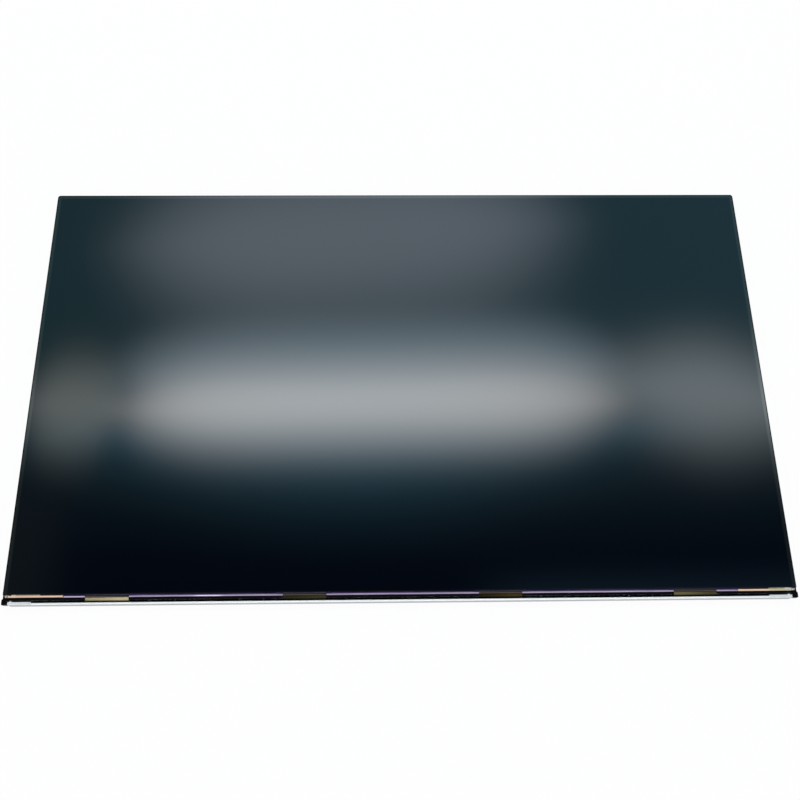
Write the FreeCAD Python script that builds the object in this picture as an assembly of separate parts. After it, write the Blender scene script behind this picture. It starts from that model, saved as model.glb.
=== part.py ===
import FreeCAD, Part
import math
import os

# A 23.8 inch edge-lit liquid crystal display panel, lying on its back with the screen up.
# X runs along the width, Y up the screen and Z out of it, in millimetres. Z = 0 is the
# rearmost plane and the origin is at the middle of the rear of the outline.
os.makedirs("parts", exist_ok=True)

# Picture area and the borders around it
active_width = 527.04
active_height = 296.46
side_border = 5.0
top_border = 5.9
bottom_border = 17.64
outline_radius = 2.0

# Glass cell
glass_thickness = 0.5
front_polarizer_thickness = 0.22
rear_polarizer_thickness = 0.2
polarizer_margin = 2.3
polarizer_front_margin = 0.6
ledge_width = 2.45
glass_corner_cut = 1.2
cell_gap = 0.15
tape_thickness = 0.4
tape_width = 2.0
tape_front_width = 4.0
tape_inset = 0.3
tape_front_inset = 0.5
rear_polarizer_gap = 0.2

# Driver films that carry the picture signals from the source board to the glass
film_count = 4
film_width = 29.0
film_end_margin = 50.27
film_thickness = 0.1
film_bond_gap = 0.8
film_exit = 0.1
film_wall_gap = 0.7
film_top_radius = 1.8
film_rear_radius = 0.8
film_board_bond = 2.0
driver_length = 22.0
driver_width = 1.4
driver_height = 0.5
driver_setback = 1.2

# Source board behind the lower edge, and the parts on its rear face, whose places along it
# are given as shares of the distance between two films
board_front = 8.5
board_height = 18.0
board_overhang = 24.0
board_thickness = 0.8
insulator_thickness = 0.15
timing_size = 13.0
timing_height = 0.9
power_size = 6.0
power_height = 0.85
gamma_size = 7.0
gamma_height = 0.8
inductor_size = 5.0
inductor_height = 1.15
connector_height = 1.1
connector_depth = 4.2
video_connector_length = 22.0
video_connector_share = 0.63
backlight_connector_length = 11.0
backlight_connector_share = -1.19
connector_wall = 1.2
connector_mouth = 0.55
connector_tongue = 0.25
chip_part_height = 0.55
chip_part_length = 1.0
chip_part_width = 1.6
chip_part_pitch = 2.6
chip_row_count = 9
chip_margin = 3.0
part_clearance = 0.2
timing_share = 0.0
power_share = -0.85
gamma_share = 0.97

# Aluminium cover over the board and the films
cover_sheet = 0.8
cover_bend_radius = 1.0
cover_wall_height = 8.0
cover_lip = 1.2
cover_tab_lip = 1.95
cover_tab_length = 15.6
cover_end_gap = 0.1
cover_step = 0.7
cover_seat = 8.0
notch_margin = 3.0
notch_radius = 1.5
screw_count = 5
screw_end_margin = 30.22
screw_shank_radius = 0.95
screw_length = 2.2
screw_head_radius = 2.2
screw_head_height = 0.55
screw_play = 0.05
cover_hole_play = 0.2

# Moulded middle frame
skirt_thickness = 0.9
rim_width = 0.6
rim_drop = 0.1
rim_chamfer = 0.2
shelf_thickness = 0.8
shelf_setback = 0.8
front_shelf_setback = 1.6
frame_recess = 3.0
frame_wall_chamfer = 0.35
corner_block_width = 3.2
corner_block_lift = 4.6
corner_block_proud = 0.7
corner_block_chamfer = 0.4
rib_width = 1.2
rib_depth = 0.5
hook_length = 7.0
hook_height = 1.2
hook_short = 0.1
hook_play = 0.3
window_radius = 1.0
fit_gap = 0.1

# Backlight
sheet_gap = 0.2
upper_diffuser_thickness = 0.3
prism_thickness = 0.25
lower_diffuser_thickness = 0.2
guide_thickness = 2.5
guide_side_gap = 0.6
guide_top_gap = 1.2
reflector_thickness = 0.2
sheet_inset = 0.3
sheet_setback = 2.5
led_gap = 0.3
led_depth = 0.65
led_height = 2.0
led_length = 7.0
led_pitch = 9.0
led_board_thickness = 0.8
led_board_height = 3.3
led_tape_thickness = 0.15
led_tape_inset = 0.3
tail_width = 10.0
tail_thickness = 0.15
tail_bend_radius = 0.8
tail_play = 0.4
stop_length = 24.0
stop_spacing = 150.0
stop_drop = 0.3

# Steel chassis
chassis_sheet = 0.6
chassis_corner_radius = 1.0
chassis_bend_radius = 0.8
bead_draft = 1.3
bead_width = 12.0
bead_corner_radius = 3.0
bead_margin = 24.0
rail_margin = 11.0
mount_hole_radius = 1.25
mount_collar_radius = 2.1
mount_collar_height = 1.6
mount_spacing_x = 410.0
mount_spacing_y = 150.0

# Levels, from the rear plane up
tallest_part = max(timing_height, power_height, gamma_height, inductor_height, connector_height)
board_rear = cover_sheet + part_clearance + tallest_part
board_face = board_rear + board_thickness
floor_rear = board_face + insulator_thickness
floor_face = floor_rear + chassis_sheet
guide_rear = floor_face + reflector_thickness
guide_face = guide_rear + guide_thickness
prism_rear = guide_face + lower_diffuser_thickness
upper_rear = prism_rear + prism_thickness
sheets_face = upper_rear + upper_diffuser_thickness
shelf_rear = sheets_face + sheet_gap
shelf_face = shelf_rear + shelf_thickness
array_rear = shelf_face + tape_thickness
array_face = array_rear + glass_thickness
filter_face = array_face + glass_thickness
screen_face = filter_face + front_polarizer_thickness
rim_face = filter_face - rim_drop

# Lines across the width and up the height
half_width = active_width / 2 + side_border
height = active_height + top_border + bottom_border
front = -height / 2
back = height / 2
skirt_inside = half_width - skirt_thickness
chassis_outside = skirt_inside - fit_gap
chassis_inside = chassis_outside - chassis_sheet
frame_front = front + frame_recess
chassis_front = frame_front + skirt_thickness + fit_gap
chassis_front_inside = chassis_front + chassis_sheet
chassis_back = back - skirt_thickness - fit_gap
chassis_back_inside = chassis_back - chassis_sheet
led_board_front = chassis_front_inside + led_tape_thickness
led_front = led_board_front + led_board_thickness
guide_front = led_front + led_depth + led_gap
guide_back = chassis_back_inside - guide_top_gap
guide_side = chassis_inside - guide_side_gap
cell_side = half_width - rim_width - cell_gap
cell_back = back - rim_width - cell_gap
film_outside = frame_front - film_wall_gap - film_thickness
array_front = film_outside + film_thickness + film_top_radius + film_exit
filter_front = array_front + ledge_width
window_side = active_width / 2 + shelf_setback
window_back = back - top_border + shelf_setback
window_front = front + bottom_border - front_shelf_setback
film_pitch = (active_width - 2 * film_end_margin - film_width) / (film_count - 1)
film_centres = [(i - (film_count - 1) / 2) * film_pitch for i in range(film_count)]
board_side = film_pitch * (film_count - 1) / 2 + film_width / 2 + board_overhang
board_near = front + board_front
board_far = board_near + board_height
rail_crest = cover_step + cover_sheet
rail_run = (floor_rear - rail_crest) * bead_draft
rail_near = board_far + rail_run + part_clearance
rail_far = rail_near + cover_seat
screw_line = (rail_near + rail_far) / 2
cover_step_line = rail_near
cover_far = rail_far
cover_side = half_width - corner_block_width - cover_end_gap
screw_pitch = 2 * (cover_side - screw_end_margin) / (screw_count - 1)
screw_centres = [(i - (screw_count - 1) / 2) * screw_pitch for i in range(screw_count)]
timing_x = film_pitch * timing_share
power_x = film_pitch * power_share
gamma_x = film_pitch * gamma_share
video_connector_x = film_pitch * video_connector_share
backlight_connector_x = film_pitch * backlight_connector_share
led_count = int(active_width / led_pitch)


def block(x0, x1, y0, y1, z0, z1):
    """A box between two opposite corners."""
    return Part.makeBox(x1 - x0, y1 - y0, z1 - z0, FreeCAD.Vector(x0, y0, z0))


def rounded_wire(x0, x1, y0, y1, z, radius):
    """A level rounded rectangle."""
    k = radius * (1 - math.sqrt(0.5))
    point = FreeCAD.Vector
    edges = [
        Part.makeLine(point(x0 + radius, y0, z), point(x1 - radius, y0, z)),
        Part.Arc(point(x1 - radius, y0, z), point(x1 - k, y0 + k, z), point(x1, y0 + radius, z)).toShape(),
        Part.makeLine(point(x1, y0 + radius, z), point(x1, y1 - radius, z)),
        Part.Arc(point(x1, y1 - radius, z), point(x1 - k, y1 - k, z), point(x1 - radius, y1, z)).toShape(),
        Part.makeLine(point(x1 - radius, y1, z), point(x0 + radius, y1, z)),
        Part.Arc(point(x0 + radius, y1, z), point(x0 + k, y1 - k, z), point(x0, y1 - radius, z)).toShape(),
        Part.makeLine(point(x0, y1 - radius, z), point(x0, y0 + radius, z)),
        Part.Arc(point(x0, y0 + radius, z), point(x0 + k, y0 + k, z), point(x0 + radius, y0, z)).toShape(),
    ]
    return Part.Wire(edges)


def rounded_block(x0, x1, y0, y1, z0, z1, radius):
    """A box with rounded upright edges."""
    return Part.Face(rounded_wire(x0, x1, y0, y1, z0, radius)).extrude(FreeCAD.Vector(0, 0, z1 - z0))


def bent_sheet(x0, x1, points, radii, thickness):
    """A sheet along a folded line in Y and Z, thickened to the left of the way the line runs."""
    steps = []
    for a, b in zip(points, points[1:]):
        length = math.hypot(b[0] - a[0], b[1] - a[1])
        steps.append(((b[0] - a[0]) / length, (b[1] - a[1]) / length))
    sides = []
    for offset in (0.0, thickness):
        edges = []
        at = (points[0][0] - steps[0][1] * offset, points[0][1] + steps[0][0] * offset)
        for i in range(1, len(points)):
            ahead = steps[i - 1]
            if i < len(points) - 1:
                after = steps[i]
                corner = (
                    points[i][0] - (ahead[1] + after[1]) * offset,
                    points[i][1] + (ahead[0] + after[0]) * offset,
                )
                turn = ahead[0] * after[1] - ahead[1] * after[0]
                if radii[i - 1] == 0:
                    edges.append(Part.makeLine(FreeCAD.Vector(x0, *at), FreeCAD.Vector(x0, *corner)))
                    at = corner
                    continue
                radius = radii[i - 1] - turn * offset
                k = radius * (1 - math.sqrt(0.5))
                start = (corner[0] - ahead[0] * radius, corner[1] - ahead[1] * radius)
                middle = (corner[0] + (after[0] - ahead[0]) * k, corner[1] + (after[1] - ahead[1]) * k)
                end = (corner[0] + after[0] * radius, corner[1] + after[1] * radius)
                edges.append(Part.makeLine(FreeCAD.Vector(x0, *at), FreeCAD.Vector(x0, *start)))
                arc = Part.Arc(*[FreeCAD.Vector(x0, *p) for p in (start, middle, end)])
                edges.append(arc.toShape())
                at = end
            else:
                end = (points[i][0] - ahead[1] * offset, points[i][1] + ahead[0] * offset)
                edges.append(Part.makeLine(FreeCAD.Vector(x0, *at), FreeCAD.Vector(x0, *end)))
        sides.append(edges)
    first = [side[0].Vertexes[0].Point for side in sides]
    last = [side[-1].Vertexes[-1].Point for side in sides]
    edges = sides[0] + sides[1] + [Part.makeLine(*first), Part.makeLine(*last)]
    return Part.Face(Part.Wire(Part.__sortEdges__(edges))).extrude(FreeCAD.Vector(x1 - x0, 0, 0))


def ridge(x0, x1, y0, y1, base_z, crest_z, radius):
    """A long bead with sloping sides; the rectangle is the outline of its crest."""
    run = (base_z - crest_z) * bead_draft
    base = rounded_wire(x0 - run, x1 + run, y0 - run, y1 + run, base_z, radius + run)
    crest = rounded_wire(x0, x1, y0, y1, crest_z, radius)
    return Part.makeLoft([base, crest], True, True)


def upright(x, y, z0, z1, radius):
    """A round bar or hole along Z."""
    return Part.makeCylinder(radius, z1 - z0, FreeCAD.Vector(x, y, z0))


def upright_edges(shape):
    """The straight edges of a block that run along Z."""
    return [edge for edge in shape.Edges if abs(edge.BoundBox.ZLength - edge.Length) < 0.001]


def save(name, shape):
    """Writes one piece of the panel."""
    shape.exportStep("parts/" + name + ".step")


# Glass cell: the array glass carries the ledge along the front, the filter glass lies on it
array_glass = block(-cell_side, cell_side, array_front, cell_back, array_rear, array_face)
save("array_glass", array_glass.makeChamfer(glass_corner_cut, upright_edges(array_glass)))
filter_glass = block(-cell_side, cell_side, filter_front, cell_back, array_face, filter_face)
back_corners = [edge for edge in upright_edges(filter_glass) if edge.CenterOfMass.y > 0]
save("filter_glass", filter_glass.makeChamfer(glass_corner_cut, back_corners))
polarizer_side = cell_side - polarizer_margin
save("front_polarizer", block(
    -polarizer_side, polarizer_side, filter_front + polarizer_front_margin, cell_back - polarizer_margin,
    filter_face, screen_face,
))

# Adhesive tape strips between the frame and the cell, with the rear polarizer in their window
tape_side = skirt_inside - tape_inset
tape_inside = tape_side - tape_width
tape_back = back - skirt_thickness - tape_inset
tape_back_inside = tape_back - tape_width
tape_front = array_front + tape_front_inset
tape_front_inside = tape_front + tape_front_width
tape_end = tape_side - glass_corner_cut
save("cell_tape_top", block(-tape_side, tape_side, tape_back_inside, tape_back, shelf_face, array_rear))
save("cell_tape_bottom", block(-tape_end, tape_end, tape_front, tape_front_inside, shelf_face, array_rear))
side_tape = block(tape_inside, tape_side, tape_front_inside, tape_back_inside, shelf_face, array_rear)
save("cell_tape_left", side_tape.translated(FreeCAD.Vector(-tape_inside - tape_side, 0, 0)))
save("cell_tape_right", side_tape)
rear_polarizer_side = tape_inside - rear_polarizer_gap
save("rear_polarizer", block(
    -rear_polarizer_side, rear_polarizer_side,
    tape_front_inside + rear_polarizer_gap, tape_back_inside - rear_polarizer_gap,
    array_rear - rear_polarizer_thickness, array_rear,
))

# Driver films: each leaves the ledge, wraps round the edge and lies on the rear of the board
film_path = [
    (array_front + ledge_width - film_bond_gap, array_face + film_thickness),
    (film_outside, array_face + film_thickness),
    (film_outside, board_rear - film_thickness),
    (board_near + film_board_bond, board_rear - film_thickness),
]
film_radii = [film_top_radius + film_thickness, film_rear_radius + film_thickness]
driver_near = film_outside + film_thickness + film_rear_radius + driver_setback
for i, x in enumerate(film_centres):
    film = bent_sheet(x - film_width / 2, x + film_width / 2, film_path, film_radii, film_thickness)
    save("driver_film_" + str(i + 1), film)
    driver = block(x - driver_length / 2, x + driver_length / 2, driver_near, driver_near + driver_width,
                   board_rear, board_rear + driver_height)
    save("driver_chip_" + str(i + 1), driver)

# Source board on its insulator
save("source_board", block(-board_side, board_side, board_near, board_far, board_rear, board_face))
insulator_side = board_side - tape_inset
save("board_insulator", block(
    -insulator_side, insulator_side, board_near + tape_inset, board_far - tape_inset, board_face, floor_rear,
))


def on_board(x, y, length, width, part_height):
    """A block standing on the rear face of the board, centred on x and y."""
    low = board_rear - part_height
    return block(x - length / 2, x + length / 2, y - width / 2, y + width / 2, low, board_rear)


board_middle = (board_near + film_board_bond + board_far) / 2
timing_controller = on_board(timing_x, board_middle, timing_size, timing_size, timing_height)
corners = upright_edges(timing_controller)
save("timing_controller", timing_controller.makeChamfer(timing_height / 3, corners))
save("power_chip", on_board(power_x, board_middle, power_size, power_size, power_height))
save("gamma_chip", on_board(gamma_x, board_middle, gamma_size, gamma_size, gamma_height))
inductor_x = power_x - power_size / 2 - inductor_size / 2 - chip_margin
inductor = on_board(inductor_x, board_middle, inductor_size, inductor_size, inductor_height)
save("power_inductor", inductor.makeChamfer(inductor_size / 8, upright_edges(inductor)))

# Resistors and capacitors in two staggered rows beside each chip
chip_parts = []
row_length = chip_part_pitch * chip_row_count
for x, size in ((timing_x, timing_size), (power_x, power_size), (gamma_x, gamma_size)):
    reach = (size + inductor_size + row_length) / 2 + chip_margin + inductor_size
    for row in (-1, 1):
        for i in range(chip_row_count):
            part_x = x + row * reach + (i - (chip_row_count - 1) / 2) * chip_part_pitch
            part_y = board_middle + row * chip_margin
            chip_parts.append(on_board(part_x, part_y, chip_part_length, chip_part_width, chip_part_height))
save("chip_parts", Part.makeCompound(chip_parts))


def socket(x, length):
    """A low connector at the far edge of the board, its mouth open away from the board."""
    body = on_board(x, board_far - connector_depth / 2, length, connector_depth, connector_height)
    middle = board_rear - connector_height / 2
    inside = length / 2 - connector_wall
    end = board_far - connector_depth + connector_wall
    mouth = block(x - inside, x + inside, end, board_far + connector_wall,
                  middle - connector_mouth / 2, middle + connector_mouth / 2)
    inside = inside - connector_wall
    tongue = block(x - inside, x + inside, end - connector_wall / 2, board_far - connector_wall / 2,
                   middle - connector_tongue / 2, middle + connector_tongue / 2)
    return body.cut(mouth).fuse(tongue)


save("video_connector", socket(video_connector_x, video_connector_length))
save("backlight_connector", socket(backlight_connector_x, backlight_connector_length))

# Moulded middle frame: a skirt round the chassis, a shelf under the cell and a rim beside it
frame = rounded_block(-half_width, half_width, front, back, floor_rear, rim_face, outline_radius)
rim_edges = [edge for edge in frame.Edges if abs(edge.BoundBox.ZMin - rim_face) < 0.001]
frame = frame.makeChamfer(rim_chamfer, rim_edges)
wall_inside = chassis_front - fit_gap
cavity = rounded_block(-skirt_inside, skirt_inside, wall_inside, back - skirt_thickness,
                       floor_rear, shelf_rear, outline_radius - skirt_thickness)
window = rounded_block(-window_side, window_side, window_front, window_back,
                       shelf_rear, shelf_face, window_radius)
rim_inside = half_width - rim_width
pocket = rounded_block(-rim_inside, rim_inside, front - outline_radius, back - rim_width,
                       shelf_face, rim_face, outline_radius - rim_width)
open_ledge = block(-half_width, half_width, front, filter_front, shelf_face, rim_face)
block_inside = half_width - corner_block_width
recess = block(-half_width, half_width, front, frame_front, floor_rear, rim_face)
frame = frame.cut(cavity).cut(window).cut(pocket).cut(open_ledge).cut(recess)

# Corner blocks close the ends of the front cover and stand a little proud of the sides
block_outside = half_width + corner_block_proud
for x0, x1 in ((-block_outside, -block_inside), (block_inside, block_outside)):
    corner = block(x0, x1, front, wall_inside, corner_block_lift, shelf_face)
    frame = frame.fuse(corner.makeChamfer(corner_block_chamfer, upright_edges(corner)))

# The front wall has a broken top edge and short ribs between the driver films
chamfer_start = FreeCAD.Vector(-block_inside, frame_front, shelf_face - frame_wall_chamfer)
wall_edge = Part.Face(Part.makePolygon([
    chamfer_start,
    FreeCAD.Vector(-block_inside, frame_front, shelf_face),
    FreeCAD.Vector(-block_inside, frame_front + frame_wall_chamfer, shelf_face),
    chamfer_start,
]))
frame = frame.cut(wall_edge.extrude(FreeCAD.Vector(2 * block_inside, 0, 0)))
rib_places = [(film_pitch - film_width) * part for part in (-0.37, -0.21, 0.21, 0.37)]
rib_top = shelf_face - 2 * frame_wall_chamfer
ribs = []
for i in range(film_count - 1):
    for place in rib_places:
        x = film_centres[i] + film_pitch / 2 + place - rib_width / 2
        ribs.append(block(x, x + rib_width, frame_front - rib_depth, frame_front, floor_rear, rib_top))
frame = frame.fuse(ribs)

# Snap hooks inside the skirt sit in windows in the chassis walls
hook_low = (floor_face + shelf_rear - hook_height) / 2
hook_high = hook_low + hook_height
hook_reach = fit_gap + chassis_sheet - hook_short
hooks = []
windows = []
for y in (front + height * part for part in (0.22, 0.5, 0.78)):
    near = y - hook_length / 2
    far = y + hook_length / 2
    for x in (-skirt_inside, skirt_inside - hook_reach):
        hooks.append(block(x, x + hook_reach, near, far, hook_low, hook_high))
        windows.append(block(x - chassis_sheet, x + 2 * chassis_sheet, near - hook_play, far + hook_play,
                             hook_low - hook_play, hook_high + hook_play))
for x in (half_width * part for part in (-0.66, -0.22, 0.22, 0.66)):
    left = x - hook_length / 2
    right = x + hook_length / 2
    far = back - skirt_thickness
    hooks.append(block(left, right, far - hook_reach, far, hook_low, hook_high))
    windows.append(block(left - hook_play, right + hook_play, far - 2 * chassis_sheet, far,
                         hook_low - hook_play, hook_high + hook_play))
save("middle_frame", frame.fuse(hooks).removeSplitter())

# Optical sheets over the light guide, and the reflector under it
sheet_side = guide_side - sheet_inset
sheet_back = guide_back - sheet_inset
sheet_front = guide_front + sheet_setback
save("upper_diffuser", block(-sheet_side, sheet_side, sheet_front, sheet_back, upper_rear, sheets_face))
save("prism_sheet", block(-sheet_side, sheet_side, sheet_front, sheet_back, prism_rear, upper_rear))
save("lower_diffuser", block(-sheet_side, sheet_side, sheet_front, sheet_back, guide_face, prism_rear))
save("light_guide", block(-guide_side, guide_side, guide_front, guide_back, guide_rear, guide_face))
save("reflector_sheet", block(-sheet_side, sheet_side, guide_front, sheet_back, floor_face, guide_rear))

# Light bar: diodes on a strip that is taped to the front wall of the chassis
led_side = led_pitch * led_count / 2
led_board_top = floor_face + led_board_height
save("led_board", block(-led_side, led_side, led_board_front, led_front, floor_face, led_board_top))
led_tape_side = led_side - led_tape_inset
save("led_thermal_tape", block(-led_tape_side, led_tape_side, chassis_front_inside, led_board_front,
                               floor_face + led_tape_inset, led_board_top - led_tape_inset))
guide_middle = (guide_rear + guide_face) / 2
leds = []
for i in range(led_count):
    x = (i - (led_count - 1) / 2) * led_pitch
    leds.append(block(x - led_length / 2, x + led_length / 2, led_front, led_front + led_depth,
                      guide_middle - led_height / 2, guide_middle + led_height / 2))
save("leds", Part.makeCompound(leds))

# The tail of the light bar drops through a slot in the chassis floor to the board
tail_x = backlight_connector_x
tail_path = [
    (led_front, guide_middle - led_height / 2 - fit_gap),
    (led_front, board_rear - tail_thickness),
    (board_near + film_board_bond, board_rear - tail_thickness),
]
save("led_tail", bent_sheet(tail_x - tail_width / 2, tail_x + tail_width / 2, tail_path,
                            [tail_bend_radius + tail_thickness], tail_thickness))

# Soft stops hold the light guide off the far wall of the chassis
stops = []
for x in (-stop_spacing, 0.0, stop_spacing):
    stops.append(block(x - stop_length / 2, x + stop_length / 2, guide_back, chassis_back_inside,
                       floor_face, guide_face - stop_drop))
save("guide_stops", Part.makeCompound(stops))

# Steel chassis: a bent tray with drawn beads that reach the rear plane
tray = rounded_block(-chassis_outside, chassis_outside, chassis_front, chassis_back,
                     floor_rear, shelf_rear, chassis_corner_radius)
bend_edges = [edge for edge in tray.Edges if abs(edge.BoundBox.ZMax - floor_rear) < 0.001]
tray = tray.makeFillet(chassis_bend_radius, bend_edges)
hollow = rounded_block(-chassis_inside, chassis_inside, chassis_front_inside, chassis_back_inside,
                       floor_face, shelf_rear, chassis_corner_radius - chassis_sheet)
tray = tray.cut(hollow)
bead_run = floor_rear * bead_draft
bead_near = cover_far + bead_run + bead_margin
bead_far = back - bead_run - bead_margin
bead_middle = (bead_near + bead_far) / 2
mount_x = mount_spacing_x / 2
bead_reach = mount_x - bead_width / 2 - 2 * bead_run - bead_margin / 4
half_bead = bead_width / 2
ridges = []
for y in (bead_near + half_bead, bead_middle, bead_far - half_bead):
    ridges.append((-bead_reach, bead_reach, y - half_bead, y + half_bead, 0.0))
for x in (-mount_x, mount_x):
    reach = mount_spacing_y / 2 + half_bead
    ridges.append((x - half_bead, x + half_bead, bead_middle - reach, bead_middle + reach, 0.0))

# A lower rail along the board carries the far edge of the cover, open where the plugs pass
gaps = [(video_connector_x, video_connector_length), (backlight_connector_x, backlight_connector_length)]
ends = [-cover_side + rail_margin]
for x, length in sorted(gaps):
    ends.append(x - length / 2 - notch_margin - rail_run)
    ends.append(x + length / 2 + notch_margin + rail_run)
ends.append(cover_side - rail_margin)
for i in range(0, len(ends), 2):
    ridges.append((ends[i], ends[i + 1], rail_near, rail_far, rail_crest))
outside = []
inside = []
for x0, x1, y0, y1, crest in ridges:
    outside.append(ridge(x0, x1, y0, y1, floor_rear, crest, bead_corner_radius))
    inside.append(ridge(x0, x1, y0, y1, floor_face, crest + chassis_sheet, bead_corner_radius))
tray = tray.fuse(outside).cut(Part.makeCompound(inside))

# Tapped holes: extruded collars for the four mounting screws, plain ones for the cover screws
collar_top = chassis_sheet + mount_collar_height
collars = []
holes = []
for x in (-mount_x, mount_x):
    for y in (bead_middle - mount_spacing_y / 2, bead_middle + mount_spacing_y / 2):
        collars.append(upright(x, y, chassis_sheet, collar_top, mount_collar_radius))
        holes.append(upright(x, y, 0.0, collar_top, mount_hole_radius))
for x in screw_centres:
    holes.append(upright(x, screw_line, rail_crest, floor_rear, screw_shank_radius + screw_play))
slot_side = tail_width / 2 + tail_play
slot = block(tail_x - slot_side, tail_x + slot_side, led_front - tail_play,
             led_front + tail_thickness + tail_play, floor_rear, floor_face)
tray = tray.fuse(collars).cut(Part.makeCompound(holes + windows + [slot]))
save("back_chassis", tray)

# Aluminium cover: a folded channel round the films, stepped down at its far edge for the screws
cover_path = [
    (front + cover_lip, cover_wall_height),
    (front, cover_wall_height),
    (front, 0.0),
    (cover_step_line, 0.0),
    (cover_step_line, cover_step),
    (cover_far, cover_step),
]
cover_radii = [cover_bend_radius, cover_bend_radius, 0, 0]
cover = bent_sheet(-cover_side, cover_side, cover_path, cover_radii, cover_sheet)
tabs = []
for side in (-1, 1):
    x0, x1 = sorted((side * cover_side, side * (cover_side - cover_tab_length)))
    tabs.append(block(x0, x1, front + cover_bend_radius, front + cover_tab_lip,
                      cover_wall_height - cover_sheet, cover_wall_height))
cuts = []
notch_near = board_far - connector_depth - notch_margin / 2
for x, length in gaps:
    side = length / 2 + notch_margin
    cuts.append(rounded_block(x - side, x + side, notch_near, cover_far + 2 * notch_radius,
                              0.0, rail_crest, notch_radius))
for x in screw_centres:
    cuts.append(upright(x, screw_line, cover_step, rail_crest, screw_shank_radius + cover_hole_play))
cover = cover.fuse(tabs).cut(Part.makeCompound(cuts)).removeSplitter()
save("board_cover", cover)

# Low-headed screws that hold the cover to the chassis
screws = []
for x in screw_centres:
    head = upright(x, screw_line, cover_step - screw_head_height, cover_step, screw_head_radius)
    shank = upright(x, screw_line, cover_step, cover_step + screw_length, screw_shank_radius)
    screws.append(head.fuse(shank))
save("cover_screws", Part.makeCompound(screws))
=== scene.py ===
"""Looks of one bare liquid crystal display panel, lying screen up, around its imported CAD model."""

import bmesh
import bpy
import numpy as np
from mathutils import Matrix, Vector


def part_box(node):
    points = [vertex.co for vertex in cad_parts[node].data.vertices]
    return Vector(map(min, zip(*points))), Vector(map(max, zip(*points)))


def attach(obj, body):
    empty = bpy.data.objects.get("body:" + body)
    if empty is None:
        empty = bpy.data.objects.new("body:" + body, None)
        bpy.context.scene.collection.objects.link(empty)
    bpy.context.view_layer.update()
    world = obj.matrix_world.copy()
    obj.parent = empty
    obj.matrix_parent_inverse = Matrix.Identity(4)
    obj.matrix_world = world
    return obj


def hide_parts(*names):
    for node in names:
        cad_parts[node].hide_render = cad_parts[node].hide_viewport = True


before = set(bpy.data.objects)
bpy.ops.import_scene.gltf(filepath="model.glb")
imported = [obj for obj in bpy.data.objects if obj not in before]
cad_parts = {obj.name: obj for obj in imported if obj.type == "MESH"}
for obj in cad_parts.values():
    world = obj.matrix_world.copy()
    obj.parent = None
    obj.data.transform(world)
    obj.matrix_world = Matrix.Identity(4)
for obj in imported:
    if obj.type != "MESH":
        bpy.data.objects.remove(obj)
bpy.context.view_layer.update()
mm = 0.001


# The back chassis is a shallow tray pressed from zinc-coated steel sheet, which carries everything else.
# Its rolled grain runs along the width, and the crests of its beads are rubbed bright where it is set down.
class Field:
    """A shader socket in an expression: an operator on it adds a Math node to its node tree."""

    def __init__(self, tree, socket=None):
        self.tree = tree
        self.socket = socket

    def node(self, kind, settings=None, sockets=None, output=0):
        """Adds a node: its settings are set first, then each named socket gets a value or a link."""
        made = self.tree.nodes.new(kind)
        for name, value in (settings or {}).items():
            if name == "stops":
                stops = made.color_ramp.elements
                for _ in value[2:]:
                    stops.new(0.5)
                for stop, (position, colour) in zip(stops, value):
                    stop.position = position
                    stop.color = (*colour, 1.0)
            else:
                setattr(made, name, value)
        for name, value in (sockets or {}).items():
            if isinstance(value, Field):
                self.tree.links.new(value.socket, made.inputs[name])
            else:
                made.inputs[name].default_value = value
        return Field(self.tree, made.outputs[output] if made.outputs else None)

    def math(self, operation, first, second=0.0):
        return self.node("ShaderNodeMath", {"operation": operation}, {0: first, 1: second})

    def __add__(self, other):
        return self.math("ADD", self, other)

    def __sub__(self, other):
        return self.math("SUBTRACT", self, other)

    def __rsub__(self, other):
        return self.math("SUBTRACT", other, self)

    def __mul__(self, other):
        return self.math("MULTIPLY", self, other)

    def __truediv__(self, other):
        return self.math("DIVIDE", self, other)

    def __abs__(self):
        return self.math("ABSOLUTE", self)

    __radd__ = __add__
    __rmul__ = __mul__

    def along(self, axis):
        """One coordinate of a place."""
        return self.node("ShaderNodeSeparateXYZ", sockets={0: self}, output=axis)

    def rise(self, low, high):
        """0 up to low and 1 from high on, with a smooth step between; high may be the lower number."""
        return self.node("ShaderNodeMapRange", {"interpolation_type": "SMOOTHSTEP"},
                         {"Value": self, "From Min": low, "From Max": high})

    def noise(self, scale, detail=2.0):
        """Cloudy noise from 0 to 1, with that many cells to the metre along x, y and z."""
        spot = self.node("ShaderNodeMapping", sockets={"Vector": self, "Scale": scale})
        return self.node("ShaderNodeTexNoise", sockets={"Vector": spot, "Scale": 1.0, "Detail": detail})

    def stripes(self, pitch, share):
        """1 on a share of each pitch along a coordinate and 0 between, with soft sides."""
        swing = abs(self.math("FRACT", self / pitch) - 0.5) * 2.0
        return swing.rise(share + 0.12, share - 0.12)

    def between(self, low, high):
        """The colour that lies this far from low to high; each is a colour or another field."""
        ends = [c if isinstance(c, Field) else (*c, 1.0) for c in (low, high)]
        return self.node("ShaderNodeMix", {"data_type": "RGBA"}, {0: self, 6: ends[0], 7: ends[1]}, output=2)

    def relief(self, distance):
        """The normal of a surface that this field lifts by up to that distance."""
        return self.node("ShaderNodeBump", sockets={"Height": self, "Distance": distance, "Strength": 1.0})


def open_finish(name):
    """Starts a material, and gives it with its Object coordinates, in metres."""
    material = bpy.data.materials.new(name)
    material.use_nodes = True
    material.node_tree.nodes.clear()
    return material, Field(material.node_tree).node("ShaderNodeTexCoord", output="Object")


def close_finish(material, sockets, *nodes):
    """Ends a material in one Principled shader with those sockets, and puts it on the CAD nodes named."""
    shader = Field(material.node_tree).node("ShaderNodeBsdfPrincipled", sockets=sockets)
    shader.node("ShaderNodeOutputMaterial", sockets={"Surface": shader})
    for node in nodes:
        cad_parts[node].material_slots[0].material = material


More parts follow.
